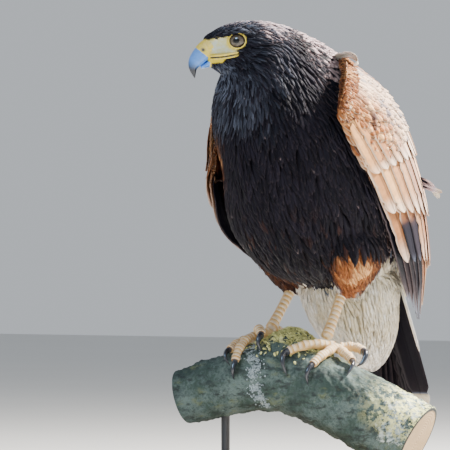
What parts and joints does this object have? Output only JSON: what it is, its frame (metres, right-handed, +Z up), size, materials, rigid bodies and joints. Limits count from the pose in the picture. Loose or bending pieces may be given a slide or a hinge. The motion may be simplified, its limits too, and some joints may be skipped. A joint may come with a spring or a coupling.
{
  "type": "harris hawk on a perch",
  "caption": "Life-size Harris's hawk standing on a short cut branch with folded wings and turned head, held by a plain stand.",
  "frame": {"origin": "centre of the stand's underside", "axes": "+Z up, -Y the way the body faces, +X the bird's left side"},
  "size_m": [0.2536, 0.266, 0.4431],
  "materials": {
    "dark_feathers": "soft, close-lying feathers",
    "wing_feathers": "long smooth feathers",
    "tail_feathers": "long smooth feathers",
    "white_feathers": "loose downy feathers",
    "thigh_feathers": "soft, close-lying feathers",
    "cere_skin": "bare satin skin",
    "bill_horn": "polished horn",
    "eye": "wet gloss",
    "leg_skin": "scaly satin skin",
    "claw_horn": "polished horn",
    "bark": "rough bark with lichen",
    "stand_wood": "satin",
    "stand_metal": "satin black"
  },
  "bodies": {
    "root": {"head": "dark_feathers", "neck": "dark_feathers", "torso": "dark_feathers", "wing_left": "wing_feathers", "wing_right": "wing_feathers", "tail": "tail_feathers", "vent": "white_feathers", "thigh_left": "thigh_feathers", "thigh_right": "thigh_feathers", "cere": "cere_skin", "bill_upper": "bill_horn", "bill_lower": "bill_horn", "eye_left": "eye", "eye_right": "eye", "shank_left": "leg_skin", "shank_right": "leg_skin", "foot_left": "leg_skin", "foot_right": "leg_skin", "claw_inner_left": "claw_horn", "claw_middle_left": "claw_horn", "claw_outer_left": "claw_horn", "claw_hind_left": "claw_horn", "claw_inner_right": "claw_horn", "claw_middle_right": "claw_horn", "claw_outer_right": "claw_horn", "claw_hind_right": "claw_horn", "stand_perch": "bark", "stand_base": "stand_wood", "stand_rod_left": "stand_metal", "stand_rod_right": "stand_metal"}
  },
  "joints": []
}
